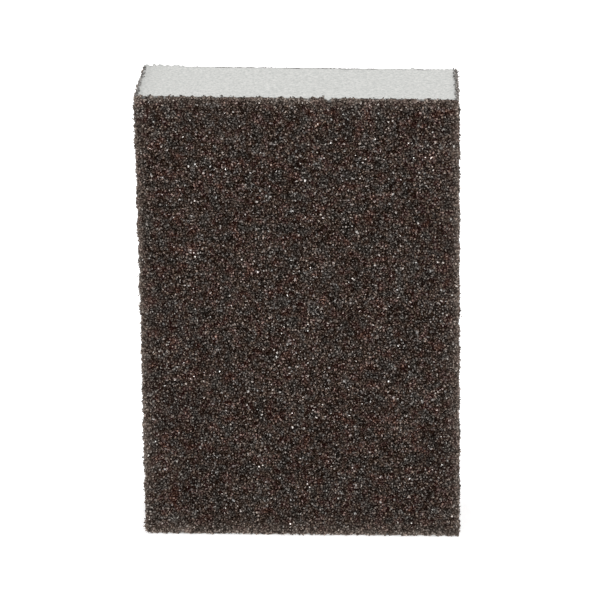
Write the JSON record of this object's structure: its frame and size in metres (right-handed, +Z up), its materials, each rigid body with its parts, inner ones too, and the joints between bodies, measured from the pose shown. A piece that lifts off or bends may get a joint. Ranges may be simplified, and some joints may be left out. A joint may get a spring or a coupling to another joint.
{
  "type": "sanding block",
  "caption": "Foam sanding block, a springy light-grey foam core with a dark mineral abrasive coat on its long faces and bare cut ends, for sanding by hand.",
  "frame": {"origin": "middle of the bottom cut end, which the block stands on", "axes": "+Z up along the block's length from the bottom cut end to the top one, +X across the broad faces to the right, +Y through the thickness away from the front face, whose outward normal is -Y"},
  "size_m": [0.07, 0.025, 0.1],
  "materials": {
    "foam": "matte",
    "make_coat": "matte",
    "grit": "satin",
    "size_coat": "satin"
  },
  "bodies": {
    "root": {"foam_core": "foam", "front_make_coat": "make_coat", "front_grit": "grit", "front_size_coat": "size_coat", "right_make_coat": "make_coat", "right_grit": "grit", "right_size_coat": "size_coat", "back_make_coat": "make_coat", "back_grit": "grit", "back_size_coat": "size_coat", "left_make_coat": "make_coat", "left_grit": "grit", "left_size_coat": "size_coat"}
  },
  "joints": []
}
